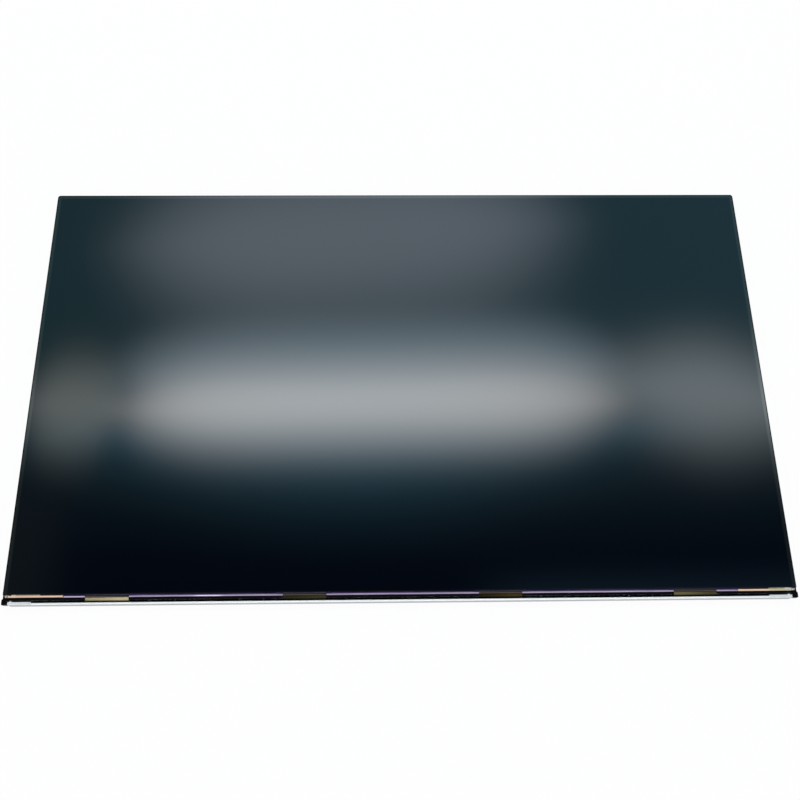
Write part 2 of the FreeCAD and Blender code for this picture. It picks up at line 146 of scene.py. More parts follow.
steel, place = open_finish("zinc_coated_steel")
rolled = place.noise((14.0, 1500.0, 1500.0), 3.0)
cloud = place.noise((38.0, 38.0, 38.0), 3.0)
crest = place.along("Z").rise(0.5 * mm, 0.1 * mm)
rubbed = crest * place.noise((24.0, 1300.0, 1300.0), 4.0).rise(0.45, 0.75)
grey = (0.55 * cloud + 0.45 * rolled).between((0.47, 0.48, 0.49), (0.66, 0.67, 0.68))
close_finish(steel, {
    "Base Color": (0.6 * rubbed).between(grey, (0.78, 0.78, 0.77)),
    "Metallic": 1.0,
    "Roughness": 0.44 - 0.10 * rolled + 0.10 * cloud - 0.08 * rubbed,
    "Normal": rolled.relief(0.012 * mm),
}, "back_chassis")


# The reflector is a white foamed polyester film laid on the floor of the tray, under the light guide.
# Its surface has the fine pearl of tiny closed bubbles.
pearl_film, place = open_finish("reflector_film")
bubbles = place.noise((1800.0, 1800.0, 1800.0))
close_finish(pearl_film, {
    "Base Color": bubbles.between((0.86, 0.87, 0.88), (0.93, 0.93, 0.92)),
    "Roughness": 0.38 + 0.15 * bubbles,
    "Normal": bubbles.relief(0.004 * mm),
}, "reflector_sheet")


# The light bar is a strip of white-masked aluminium board with a row of side-emitting diodes soldered on it.
# A grey thermal tape holds it to the chassis wall, and an amber flexible tail brings its current.
white_mask, place = open_finish("light_board_mask")
diode_pitch = 9.0 * mm
ripple = place.noise((220.0, 220.0, 220.0))
copper_step = place.along("X").stripes(diode_pitch, 0.42)
close_finish(white_mask, {
    "Base Color": (0.5 * ripple + 0.3 * copper_step).between((0.74, 0.75, 0.74), (0.88, 0.88, 0.86)),
    "Roughness": 0.34 + 0.12 * ripple,
    "Normal": copper_step.relief(0.03 * mm),
}, "led_board")

thermal, place = open_finish("thermal_tape")
weave_pitch = 0.6 * mm
weave = place.along("X").stripes(weave_pitch, 0.5) * place.along("Z").stripes(weave_pitch, 0.5)
close_finish(thermal, {
    "Base Color": weave.between((0.30, 0.31, 0.33), (0.42, 0.43, 0.45)),
    "Roughness": 0.75 - 0.1 * weave,
    "Normal": weave.relief(0.02 * mm),
}, "led_thermal_tape")

diode, place = open_finish("light_diode")
lens_face = place.along("Y").rise(-153.95 * mm, -153.82 * mm)
above_sill = place.along("Z").rise(4.45 * mm, 4.6 * mm)
below_head = place.along("Z").rise(5.85 * mm, 5.7 * mm)
window = lens_face * above_sill * below_head
speck = place.noise((2500.0, 2500.0, 2500.0))
close_finish(diode, {
    "Base Color": window.between((0.84, 0.84, 0.82), (0.86, 0.62, 0.09)),
    "Roughness": 0.3 + 0.25 * speck - 0.15 * window,
    "Normal": speck.relief(0.006 * mm),
}, "leds")

amber_tail, place = open_finish("flexible_tail")
tracks = place.along("X").stripes(2.2 * mm, 0.55)
close_finish(amber_tail, {
    "Base Color": tracks.between((0.22, 0.10, 0.02), (0.52, 0.27, 0.08)),
    "Roughness": 0.32 - 0.08 * tracks,
    "Normal": tracks.relief(0.02 * mm),
}, "led_tail")


# The guide stops are three soft silicone blocks stuck inside the far wall, to hold the guide off the steel.
# They are moulded in pale grey with a matt skin.
silicone, place = open_finish("soft_stop_silicone")
skin = place.noise((900.0, 900.0, 900.0), 3.0)
close_finish(silicone, {
    "Base Color": skin.between((0.50, 0.51, 0.52), (0.60, 0.61, 0.61)),
    "Roughness": 0.62 + 0.15 * skin,
    "Normal": skin.relief(0.01 * mm),
}, "guide_stops")


# The light guide is a clear acrylic plate that carries the diodes' light across the panel.
# Fine white dots are printed under it, larger away from the diodes, to let the light out evenly.
acrylic, place = open_finish("acrylic_guide")
dot_pitch = 1.1 * mm
far = place.along("Y").rise(-150.0 * mm, 155.0 * mm)
dots = place.along("X").stripes(dot_pitch, 0.5) * place.along("Y").stripes(dot_pitch, 0.5)
close_finish(acrylic, {
    "Base Color": (dots * (0.3 + 0.7 * far)).between((0.86, 0.90, 0.90), (0.97, 0.98, 0.98)),
    "Roughness": 0.06 + 0.3 * dots,
    "Transmission Weight": 0.6,
    "IOR": 1.49,
}, "light_guide")


# Two diffusers and a prism film lie loose on the guide and spread its light over the whole face.
# The diffusers are matt white polyester, and the prism film has fine ridges along the width.
haze, place = open_finish("diffuser_film")
grain = place.noise((2600.0, 2600.0, 2600.0))
close_finish(haze, {
    "Base Color": grain.between((0.80, 0.82, 0.83), (0.90, 0.91, 0.91)),
    "Roughness": 0.55 + 0.2 * grain,
    "Normal": grain.relief(0.004 * mm),
}, "upper_diffuser", "lower_diffuser")

ridged, place = open_finish("prism_film")
ridges = place.along("Y").stripes(0.4 * mm, 0.5)
close_finish(ridged, {
    "Base Color": ridges.between((0.66, 0.71, 0.74), (0.85, 0.88, 0.90)),
    "Roughness": 0.16 + 0.14 * ridges,
    "Normal": ridges.relief(0.05 * mm),
}, "prism_sheet")


# The middle frame is moulded in black polycarbonate, snaps round the tray and carries the glass on its shelf.
# Its skin has a fine spark-eroded grain, with grey dust and small grey marks at a regular pitch on the wall
# below the glass.
# They keep to the middle of the wall's height, and its top under the glass and its foot over the gap stay
# black as painted shade.
black_frame, place = open_finish("black_frame_plastic")
grain = place.noise((2300.0, 2300.0, 2300.0), 3.0)
dust = place.noise((560.0, 1100.0, 520.0), 3.0).rise(0.50, 0.64)
marks = place.along("X").stripes(3.3 * mm, 0.2) * place.noise((17.0, 17.0, 17.0)).rise(0.5, 0.58)
front_wall = place.along("Y").rise(-155.9 * mm, -156.2 * mm)
# The wall is left black at its top and its foot, as painted shade under the glass and over the gap.
clear_of_shade = place.along("Z").rise(4.4 * mm, 5.8 * mm) * place.along("Z").rise(7.9 * mm, 6.9 * mm)
dust_marks_clear_of_shade = (dust + 0.6 * marks) * front_wall * clear_of_shade
close_finish(black_frame, {
    "Base Color": dust_marks_clear_of_shade.between((0.0012, 0.0014, 0.0022), (0.34, 0.375, 0.42)),
    "Roughness": 0.30 + 0.14 * grain + 0.15 * dust_marks_clear_of_shade,
    "Specular IOR Level": 0.08,
    "Normal": grain.relief(0.006 * mm),
}, "middle_frame")


# Four strips of black foam tape bed the glass on the frame's shelf and keep light from leaking round it.
# The foam has open cells on its cut sides.
foam, place = open_finish("black_foam_tape")
cells = place.noise((3200.0, 3200.0, 3200.0), 3.0)
close_finish(foam, {
    "Base Color": cells.between((0.008, 0.008, 0.009), (0.035, 0.035, 0.037)),
    "Roughness": 0.78 + 0.15 * cells,
    "Normal": cells.relief(0.03 * mm),
}, "cell_tape_top", "cell_tape_bottom", "cell_tape_left", "cell_tape_right")


# The rear polarizer is a dark tinted film laminated under the cell.
# It has a smooth, faintly cloudy face, seen only when the panel is apart.
rear_film, place = open_finish("rear_polarizer_film")
smear = place.noise((60.0, 60.0, 60.0))
close_finish(rear_film, {
    "Base Color": smear.between((0.035, 0.040, 0.048), (0.055, 0.060, 0.068)),
    "Roughness": 0.18 + 0.1 * smear,
}, "rear_polarizer")


# The array glass is the lower plate of the cell, with its transistors under the upper plate.
# Its bare ledge along the lower edge shows thin metal layers in violet, and its cut edge is ground.
# Across the ledge the colour darkens towards the upper plate as painted shade under its edge, and is near
# black at the cut edge.
array_glass, place = open_finish("array_glass")
glass_edge, ledge_depth = -155.8 * mm, 2.45 * mm
inward = (place.along("Y") - glass_edge) / ledge_depth
streak = place.noise((26.0, 700.0, 700.0), 3.0)
# The ramp darkens towards the upper plate, as painted shade under its edge.
layer_and_shade_stops = (
    (0.0, (0.004, 0.003, 0.006)), (0.14, (0.050, 0.035, 0.058)), (0.40, (0.085, 0.050, 0.115)),
    (0.60, (0.055, 0.033, 0.098)), (0.78, (0.018, 0.011, 0.048)), (0.97, (0.003, 0.003, 0.010)),
)
layers_and_shade = inward.node("ShaderNodeValToRGB", {"stops": layer_and_shade_stops}, {0: inward})
streaked = (0.6 * streak.rise(0.45, 0.8)).between(layers_and_shade, (0.080, 0.046, 0.14))
ends = abs(place.along("X")).rise(226.5 * mm, 229.5 * mm)
close_finish(array_glass, {
    "Base Color": (0.9 * ends).between(streaked, (0.022, 0.010, 0.004)),
    "Roughness": 0.12 + 0.10 * streak,
    "Specular IOR Level": 0.15,
}, "array_glass")


# Sputtered and etched metal lies on the ledge: a common line along the glass edge, fine signal lines
# beside it, fans of tracks behind each film, and copper bars with test pads and slanted marks at the ends.
ledge_top, metal_sink = 9.05, 0.004
film_middles, film_half = (-198.75, -66.25, 66.25, 198.75), 14.5


def piece_from_sections(name, sections, material, smooth=False):
    """One mesh of closed bodies: sections[k, i, j] is point j of ring i of body k, and each body's
    rings are joined along i, closed round j, and shut at both ends by a fan to the ring's middle."""
    ends = sections[:, [0, -1]].mean(axis=2, keepdims=True)
    count, rings, sides, _ = sections.shape
    points = np.concatenate((sections.reshape(count, -1, 3), ends.reshape(count, 2, 3)), axis=1)
    ring = np.arange(rings * sides).reshape(rings, sides)
    ahead = np.roll(ring, -1, axis=1)
    wall = np.stack((ring[:-1], ahead[:-1], ahead[1:], ring[1:]), axis=-1).reshape(-1, 4)
    first = np.stack((ahead[0], ring[0], np.full(sides, rings * sides)), axis=-1)
    last = np.stack((ring[-1], ahead[-1], np.full(sides, rings * sides + 1)), axis=-1)
    step = np.arange(count)[:, None, None] * points.shape[1]
    faces = (wall + step).reshape(-1, 4).tolist()
    faces += (np.concatenate((first, last)) + step).reshape(-1, 3).tolist()
    mesh = bpy.data.meshes.new(name)
    mesh.from_pydata((points.reshape(-1, 3) * mm).tolist(), [], faces)
    shell = bmesh.new()
    shell.from_mesh(mesh)
    bmesh.ops.recalc_face_normals(shell, faces=shell.faces)
    shell.to_mesh(mesh)
    shell.free()
    mesh.polygons.foreach_set("use_smooth", np.full(len(mesh.polygons), smooth))
    mesh.materials.append(material)
    piece = bpy.data.objects.new(name, mesh)
    bpy.context.scene.collection.objects.link(piece)
    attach(piece, "root")
    return piece


def flat_strips(paths, half_width, bottom, top):
    """Rings of flat strips: each path[k, i] is a line in plan, widened to both sides along its normal."""
    ahead = np.gradient(paths, axis=1)
    ahead /= np.linalg.norm(ahead, axis=2, keepdims=True)
    aside = np.stack((-ahead[..., 1], ahead[..., 0]), axis=-1) * half_width
    rings = []
    for shift, z in ((aside, bottom), (aside, top), (-aside, top), (-aside, bottom)):
        heights = np.full(paths.shape[:2] + (1,), z)
        rings.append(np.concatenate((paths + shift, heights), axis=2))
    return np.stack(rings, axis=2)


def etched(paths, half_width, lift):
    """Flat strips of metal on the ledge, which stand proud of the glass by that lift."""
    return flat_strips(paths, half_width, ledge_top - metal_sink, ledge_top + lift)


def straight(starts, ends):
    """Paths of two points each."""
    return np.stack((np.array(starts, float), np.array(ends, float)), axis=1)


def row(x, y):
    """Points in plan with those x, all at one y."""
    return np.stack((x, np.full(len(x), y)), axis=1)


bar_inner, bar_outer, bar_gap = 228.2, 264.4, 0.4
edge_clear = 0.25
run_starts = np.append(-bar_inner + bar_gap, np.array(film_middles) + film_half + edge_clear)
run_ends = np.append(np.array(film_middles) - film_half - edge_clear, bar_inner - bar_gap)
common_y, common_half = -155.02, 0.40
lilac_metal, place = open_finish("lilac_common_line")
shimmer = place.noise((45.0, 300.0, 300.0), 4.0)
# The near white pink between the first two films, and more weakly towards the left end, is a painted
# highlight.
highlight_stretch = place.along("X").rise(-143.0 * mm, -137.0 * mm) * place.along("X").rise(-119.0 * mm, -127.0 * mm)
highlight_share = highlight_stretch + 0.4 * place.along("X").rise(-213.0 * mm, -216.0 * mm)
lilac = shimmer.between((0.26, 0.18, 0.265), (0.63, 0.49, 0.61))
close_finish(lilac_metal, {
    "Base Color": (0.85 * highlight_share).between(lilac, (0.96, 0.78, 0.96)),
    "Metallic": 0.05,
    "Roughness": 0.34 + 0.16 * shimmer,
})
common_paths = straight(row(run_starts, common_y), row(run_ends, common_y))
piece_from_sections("common_lines", etched(common_paths, common_half, 0.012), lilac_metal)

violet_metal, place = open_finish("violet_signal_line")
shimmer = place.noise((60.0, 300.0, 300.0), 4.0)
close_finish(violet_metal, {
    "Base Color": shimmer.between((0.055, 0.034, 0.12), (0.20, 0.125, 0.30)),
    "Metallic": 0.3,
    "Roughness": 0.30 + 0.16 * shimmer,
})
lines = np.arange(3)
line_y = -154.72 + 0.26 * lines
line_inset = 1.4 - 0.45 * lines
line_half, turn_length, hidden_y = 0.07, 5.0, -153.30
share = np.linspace(0.0, 1.0, 41)
lefts = (run_starts[1:4, None] + line_inset).ravel()
rights = (run_ends[1:4, None] - line_inset).ravel()
line_x = lefts[:, None] + (rights - lefts)[:, None] * share
near_end = np.minimum(line_x - lefts[:, None], rights[:, None] - line_x)
turn = np.clip(1.0 - near_end / turn_length, 0.0, 1.0)
rows_y = np.tile(line_y, 3)[:, None]
signal_paths = np.stack((line_x, rows_y + (hidden_y - rows_y) * turn * turn * (3.0 - 2.0 * turn)), axis=2)
piece_from_sections("signal_lines", etched(signal_paths, line_half, 0.010), violet_metal)

dark_metal, place = open_finish("dark_fan_track")
shimmer = place.noise((60.0, 300.0, 300.0), 4.0)
close_finish(dark_metal, {
    "Base Color": shimmer.between((0.014, 0.009, 0.019), (0.055, 0.038, 0.068)),
    "Metallic": 0.1,
    "Roughness": 0.30 + 0.16 * shimmer,
    "Specular IOR Level": 0.25,
})
fan = np.linspace(-1.0, 1.0, 56)
fan_y, fan_half = -154.13, 0.13
fan_x = np.add.outer(film_middles, fan * (film_half - 0.6)).ravel()
spread_x = np.add.outer(film_middles, fan * (film_half + 0.5)).ravel()
fan_paths = straight(row(fan_x, fan_y), row(spread_x, hidden_y))
piece_from_sections("fan_tracks", etched(fan_paths, fan_half, 0.008), dark_metal)

copper, place = open_finish("copper_end_bar")
tarnish = place.noise((220.0, 600.0, 600.0), 4.0)
fresh = tarnish.between((0.72, 0.45, 0.31), (0.96, 0.68, 0.50))
close_finish(copper, {
    "Base Color": place.along("X").rise(249.0 * mm, 250.2 * mm).between(fresh, (0.58, 0.48, 0.30)),
    "Specular IOR Level": 0.3,
    "Roughness": 0.30 + 0.2 * tarnish,
})
bar_left_y, bar_right_y, bar_half = -154.66, -154.85, 0.60
bar_paths = straight([(-bar_outer, bar_left_y), (bar_inner, bar_right_y)],
                     [(-bar_inner, bar_left_y), (bar_outer, bar_right_y)])
piece_from_sections("end_bars", etched(bar_paths, bar_half, 0.012), copper)

pad_gold, place = open_finish("gold_test_pad")
wash = place.noise((300.0, 900.0, 900.0), 3.0)
# The pads and slanted marks beyond 260 mm each side are near white as a painted highlight, cream on the left
# and peach on the right.
tinned = abs(place.along("X")).rise(259.0 * mm, 261.0 * mm)
leftward = place.along("X").rise(1.0 * mm, -1.0 * mm)
tin = leftward.between((0.92, 0.86, 0.76), (0.93, 0.72, 0.54))
gold = wash.between((0.34, 0.29, 0.16), (0.68, 0.58, 0.38))
close_finish(pad_gold, {
    "Base Color": tinned.between(gold, tin),
    "Specular IOR Level": 0.3,
    "Roughness": 0.28 + 0.2 * wash,
})
pad_pitch, pad_near, pad_far, pad_half = 0.8, -154.22, -153.42, 0.32
pad_x = np.concatenate((np.arange(-262.2, -243.1, pad_pitch), np.arange(249.6, 265.1, pad_pitch)))
pad_paths = straight(row(pad_x, pad_near), row(pad_x, pad_far))
slant_near, slant_far, slant_half = -155.3, -153.8, 0.22
slant_x = np.array([-266.6, -265.6, -264.6, 264.6, 265.6, 266.6])
lean = 0.35 * np.sign(slant_x)
slant_paths = straight(row(slant_x - lean, slant_near), row(slant_x + lean, slant_far))
pad_strips = np.concatenate((etched(pad_paths, pad_half, 0.016), etched(slant_paths, slant_half, 0.016)))
piece_from_sections("test_pads", pad_strips, pad_gold)


# The filter glass is the upper plate of the cell, with its black mask and colour filters on its inner face.
# It stands a little beyond the polarizer on three sides, where its bare polished border shows.
filter_glass, place = open_finish("filter_glass")
smear = place.noise((45.0, 45.0, 45.0), 3.0)
toward_ledge = place.along("Y").rise(0.0, -150.0 * mm)
warm_mask = smear.between((0.0062, 0.0050, 0.0032), (0.0100, 0.0082, 0.0058))
cool_mask = smear.between((0.0060, 0.0074, 0.0080), (0.0086, 0.0104, 0.0112))
close_finish(filter_glass, {
    "Base Color": toward_ledge.between(warm_mask, cool_mask),
    "Roughness": 0.07 + 0.05 * smear,
    "IOR": 1.63,
}, "filter_glass")


# The front polarizer is the anti-glare film laminated on the face, black while the panel is dark.
# Its coat has a fine etched grain, which spreads every reflection into a soft glow.
face_film, place = open_finish("anti_glare_film")
etch = place.noise((3400.0, 3400.0, 3400.0))
tone = place.noise((9.0, 9.0, 9.0))
close_finish(face_film, {
    "Base Color": tone.between((0.0007, 0.0016, 0.0038), (0.0013, 0.0026, 0.0050)),
    "Roughness": 0.080 + 0.008 * etch,
    "Normal": etch.relief(0.0006 * mm),
    "IOR": 1.5,
}, "front_polarizer")


# Four driver films are bonded to the ledge with resin and bend round the frame to the board behind.
# Each is amber polyimide with copper tracks under an olive cover coat, and carries one long bare chip.
# Their colours hold painted light: each film has its own lit or shaded copy of the colours, lighter towards
# one side, with a painted highlight on the outer edge of the bond and painted shade in the crease past the
# bond and where the film tucks under.
# Per film, lit and shaded copies of one polyimide: the dim and the lit end of its painted light across its
# width, then its valley and track colours.
film_lighting = {
    "driver_film_1": (-12.0, 12.0, (0.29, 0.235, 0.12), (0.62, 0.53, 0.31)),
    "driver_film_2": (-12.0, 12.0, (0.012, 0.011, 0.004), (0.046, 0.042, 0.014)),
    "driver_film_3": (-12.0, 12.0, (0.002, 0.0015, 0.0005), (0.066, 0.041, 0.011)),
    "driver_film_4": (12.0, -12.0, (0.035, 0.027, 0.010), (0.165, 0.134, 0.062)),
}
for middle, (film, (dim_end, lit_end, shaded_valley, track)) in zip(film_middles, film_lighting.items()):
    film_finish, place = open_finish(film + "_polyimide")
    tracks = place.along("X").stripes(0.5 * mm, 0.5)
    wide = place.along("X").stripes(4.1 * mm, 0.8)
    mottle = place.noise((120.0, 500.0, 500.0), 3.0)
    lit = place.along("X").rise((middle + dim_end) * mm, (middle + lit_end) * mm)
    amber = (0.20 * tracks + 0.05 * wide + 0.20 * mottle + 0.55 * lit).between(shaded_valley, track)
    outward = place.along("Y").rise(-154.72 * mm, -155.02 * mm)
    # A painted highlight along the outer edge of the bond.
    bond_highlight = mottle.between((0.075, 0.058, 0.048), (0.155, 0.124, 0.100))
    bond = outward.between((0.008, 0.005, 0.007), bond_highlight)
    bend = place.along("Y").rise(-155.35 * mm, -155.75 * mm)
    # Painted shade where the film tucks under the frame and in the crease past the bond.
    tuck_shade = place.along("Z").rise(8.7 * mm, 7.9 * mm)
    past_bond = place.along("Y").rise(-155.24 * mm, -155.36 * mm)
    before_edge = place.along("Y").rise(-155.80 * mm, -155.66 * mm)
    crease_shade = past_bond * before_edge
    shade = 1.0 - (1.0 - 0.95 * crease_shade) * (1.0 - 0.8 * tuck_shade)
    close_finish(film_finish, {
        "Base Color": shade.between(bend.between(bond, amber), (0.004, 0.003, 0.002)),
        "Roughness": 0.30 + 0.16 * mottle,
        "Specular IOR Level": 0.05,
        "Normal": tracks.relief(0.012 * mm),
    }, film)


def copies_along_x(rings, places):
    """Bodies with those rings, each moved along X to its own place."""
    return rings + np.array(places)[:, None, None, None] * np.array([1.0, 0.0, 0.0])


resin, place = open_finish("bond_resin")
cured = place.noise((500.0, 1200.0, 1200.0), 3.0)
close_finish(resin, {
    "Base Color": cured.between((0.030, 0.024, 0.026), (0.085, 0.066, 0.060)),
    "Roughness": 0.12 + 0.10 * cured,
    "IOR": 1.5,
})
bead_y, bead_lift, bead_radius, bead_flatness = -154.06, 0.02, 0.13, 1.3
bead_half, round_half = film_half + 0.15, film_half + 0.2
bead_x = np.linspace(-bead_half, bead_half, 33)
sweep = np.linspace(0.0, 2.0 * np.pi, 10, endpoint=False)
round_ends = np.sqrt(np.clip(1.0 - (np.abs(bead_x) / round_half) ** 24, 0.02, 1.0))
uneven = 1.0 + 0.12 * np.sin(bead_x * 2.1) + 0.08 * np.sin(bead_x * 5.3)
swell = (bead_radius * round_ends * uneven)[:, None]
bead_rings = np.stack(np.broadcast_arrays(bead_x[:, None], bead_y + swell * bead_flatness * np.cos(sweep),
                                          ledge_top + bead_lift + swell * np.sin(sweep)), axis=-1)
piece_from_sections("bond_beads", copies_along_x(bead_rings, film_middles), resin, smooth=True)

silicon, place = open_finish("driver_chip_silicon")
lapped = place.noise((900.0, 4200.0, 900.0))
close_finish(silicon, {
    "Base Color": lapped.between((0.055, 0.057, 0.064), (0.10, 0.103, 0.115)),
    "Metallic": 0.6,
    "Roughness": 0.22 + 0.14 * lapped,
}, "driver_chip_1", "driver_chip_2", "driver_chip_3", "driver_chip_4")


# The source board is a long narrow circuit board behind the lower edge, which feeds all four films.
# Green mask covers its tracks, and a sheet of black film insulates it from the steel.
# Chips in black epoxy, a pressed ferrite inductor and small ceramic parts are soldered to it.
green_mask, place = open_finish("green_solder_mask")
tracks = place.along("Y").stripes(0.9 * mm, 0.55) * place.noise((60.0, 900.0, 60.0)).rise(0.4, 0.5)
mottle = place.noise((300.0, 300.0, 300.0))
close_finish(green_mask, {
    "Base Color": tracks.between((0.008, 0.060, 0.030), (0.018, 0.115, 0.055)),
    "Roughness": 0.24 + 0.12 * mottle,
    "Normal": tracks.relief(0.03 * mm),
}, "source_board")

insulator, place = open_finish("insulating_film")
smear = place.noise((150.0, 150.0, 150.0))
close_finish(insulator, {
    "Base Color": smear.between((0.010, 0.010, 0.011), (0.024, 0.024, 0.026)),
    "Roughness": 0.32 + 0.2 * smear,
}, "board_insulator")

epoxy, place = open_finish("chip_epoxy")
moulded = place.noise((2000.0, 2000.0, 2000.0), 3.0)
close_finish(epoxy, {
    "Base Color": moulded.between((0.014, 0.014, 0.015), (0.030, 0.030, 0.031)),
    "Roughness": 0.5 + 0.2 * moulded,
    "Normal": moulded.relief(0.006 * mm),
}, "timing_controller", "power_chip", "gamma_chip")

ferrite, place = open_finish("inductor_ferrite")
pressed = place.noise((1600.0, 1600.0, 1600.0), 3.0)
close_finish(ferrite, {
    "Base Color": pressed.between((0.045, 0.044, 0.043), (0.085, 0.083, 0.080)),
    "Roughness": 0.55 + 0.2 * pressed,
    "Normal": pressed.relief(0.01 * mm),
}, "power_inductor")

ceramic, place = open_finish("chip_part_ceramic")
fired = place.noise((1500.0, 1500.0, 1500.0))
close_finish(ceramic, {
    "Base Color": fired.between((0.26, 0.17, 0.09), (0.42, 0.30, 0.18)),
    "Roughness": 0.4 + 0.15 * fired,
}, "chip_parts")


# The video and backlight connectors are moulded in pale nylon, with a row of gilded contacts in each.
# The contacts lie as blades on the tongue and leave behind as bent tails, which are soldered to the board.
# A tinned tab at each end holds the housing down.
housing, place = open_finish("connector_housing")
moulded = place.noise((1700.0, 1700.0, 1700.0))
close_finish(housing, {
    "Base Color": moulded.between((0.70, 0.68, 0.60), (0.80, 0.78, 0.70)),
    "Roughness": 0.38 + 0.15 * moulded,
    "Normal": moulded.relief(0.004 * mm),
}, "video_connector", "backlight_connector")

contact_gold, place = open_finish("gilded_contact")
plated = place.noise((1500.0, 1500.0, 1500.0))
tail_tin = place.along("Y").rise(-137.6 * mm, -137.8 * mm)
gilt = plated.between((0.62, 0.42, 0.15), (0.82, 0.60, 0.25))
close_finish(contact_gold, {
    "Base Color": tail_tin.between(gilt, (0.62, 0.62, 0.61)),
    "Metallic": 1.0,
    "Roughness": 0.22 + 0.16 * plated,
})
video_middle, video_pitch, video_tab = 83.475, 0.6, 11.0
backlight_middle, backlight_pitch, backlight_tab = -157.675, 0.8, 5.5
board_rear, tongue_face = 2.15, 1.475
sheet_corners = np.array([(-1, -1), (-1, 1), (1, 1), (1, -1)])
video_pins = video_middle + video_pitch * np.arange(-14, 15)
backlight_pins = backlight_middle + backlight_pitch * np.arange(-4, 5)
pin_x = np.concatenate((video_pins, backlight_pins))
pin_along = np.array([-138.75, -138.05, -137.85, -137.3])
pin_lift = board_rear - np.array([0.04, 0.04, 0.22, 0.22])
pin_half = sheet_corners * np.array([0.13, 0.04])
pin_rings = np.stack(np.broadcast_arrays(pin_half[:, 0], pin_along[:, None],
                                         pin_lift[:, None] + pin_half[:, 1]), axis=-1)
piece_from_sections("connector_tails", copies_along_x(pin_rings, pin_x), contact_gold)

blade_back, blade_front, blade_half = -136.4, -134.2, 0.14
blade_sink, blade_rise = 0.03, 0.02
blade_paths = straight(row(pin_x, blade_back), row(pin_x, blade_front))
blade_strips = flat_strips(blade_paths, blade_half, tongue_face - blade_sink, tongue_face + blade_rise)
piece_from_sections("connector_blades", blade_strips, contact_gold)

solder_tin, place = open_finish("tinned_tab")
flowed = place.noise((900.0, 900.0, 900.0), 3.0)
close_finish(solder_tin, {
    "Base Color": flowed.between((0.52, 0.52, 0.51), (0.70, 0.70, 0.69)),
    "Metallic": 1.0,
    "Roughness": 0.24 + 0.2 * flowed,
    "Normal": flowed.relief(0.03 * mm),
})
tab_x = np.array([video_middle - video_tab, video_middle + video_tab,
                  backlight_middle - backlight_tab, backlight_middle + backlight_tab])
tab_y = -135.6
tab_side = np.array([-1.0, 1.0, -1.0, 1.0])
tab_reach = np.array([-0.06, 0.06, 0.12, 0.9])
tab_lift = board_rear - np.array([0.75, 0.75, 0.06, 0.06])
tab_half = sheet_corners * np.array([0.8, 0.05])
tab_rings = np.stack(np.broadcast_arrays(tab_side[:, None, None] * tab_reach[:, None], tab_y + tab_half[:, 0],
                                         tab_lift[:, None] + tab_half[:, 1]), axis=-1)
piece_from_sections("connector_tabs", copies_along_x(tab_rings, tab_x), solder_tin)


# The board cover is folded from bright aluminium sheet round the lower edge, over the films and the board.
# The sheet has a rolled grain along its length and a clear matt skin. Its colour holds painted light: a
# painted highlight on the top of the lip, duller on the end tabs, painted shade on the front wall, and a near
# black painted shade inside, which darkens the gap under the lip.
cover_metal, place = open_finish("cover_aluminium")
rolled = place.noise((9.0, 1700.0, 1700.0), 3.0)
cloud = place.noise((30.0, 30.0, 30.0))
streaks = 0.5 * rolled + 0.5 * cloud
tab_end = abs(place.along("X")).rise(248.6 * mm, 250.6 * mm)
bare = streaks.between((0.62, 0.625, 0.63), (0.76, 0.765, 0.77))
# The top of the lip is a painted highlight, duller on the end tabs, and the front wall below it is painted
# shade.
top_highlight = tab_end.between((0.97, 0.965, 0.955), (0.80, 0.80, 0.80))
wall_shade = streaks.between((0.41, 0.42, 0.43), (0.53, 0.535, 0.54))
fold = place.along("Y").rise(-159.0 * mm, -159.25 * mm)
lit_top = place.along("Z").rise(7.15 * mm, 7.45 * mm)
# The inside of the cover is painted near black, as painted shade for the gap under the lip.
within = place.along("Z").rise(0.5 * mm, 0.6 * mm) * place.along("Z").rise(7.3 * mm, 7.1 * mm)
behind_fold = place.along("Y").rise(-159.6 * mm, -159.4 * mm)
short_of_edge = place.along("Y").rise(-134.2 * mm, -134.6 * mm)
inner_shade = within * behind_fold * short_of_edge
metal = lit_top.between(fold.between(bare, wall_shade), top_highlight)
skinned = 1.0 - (1.0 - fold) * (1.0 - lit_top)
close_finish(cover_metal, {
    "Base Color": inner_shade.between(metal, (0.012, 0.012, 0.013)),
    "Metallic": (0.95 - 0.45 * skinned) * (1.0 - inner_shade),
    "Roughness": 0.40 + 0.14 * skinned + 0.10 * rolled,
    "Normal": rolled.relief(0.006 * mm),
}, "board_cover")


# Five low-headed screws hold the cover to the chassis rail, in bright nickel-plated steel.
# Each has a rolled thread and a turned head with a pressed cross recess.
nickel, place = open_finish("nickel_plated_steel")
turned = place.noise((1200.0, 1200.0, 1200.0), 3.0)
close_finish(nickel, {
    "Base Color": turned.between((0.60, 0.58, 0.55), (0.74, 0.72, 0.68)),
    "Metallic": 1.0,
    "Roughness": 0.24 + 0.16 * turned,
}, "cover_screws")
screw_x = (-235.0, -117.5, 0.0, 117.5, 235.0)
screw_y = (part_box("cover_screws")[0].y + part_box("cover_screws")[1].y) / 2 / mm
head_face, head_seat, neck, shank_end, tip_length, tip_radius = 0.15, 0.70, 0.05, 2.90, 0.3, 0.3
head_radius, head_round, root_radius, thread_depth, thread_pitch = 2.2, 0.25, 0.85, 0.1, 0.4
arm_half, arm_reach, recess_depth, near_axis = 0.30, 1.25, 0.38, 0.04
arm_corner = np.arctan2(arm_half, arm_reach)
quarter_stops = (0.0, arm_corner, np.pi / 4, np.pi / 2 - arm_corner, np.pi / 2)
quarter = np.interp(np.arange(16) / 4, np.arange(5), quarter_stops)
around = (quarter + np.pi / 2 * np.arange(4)[:, None]).ravel()


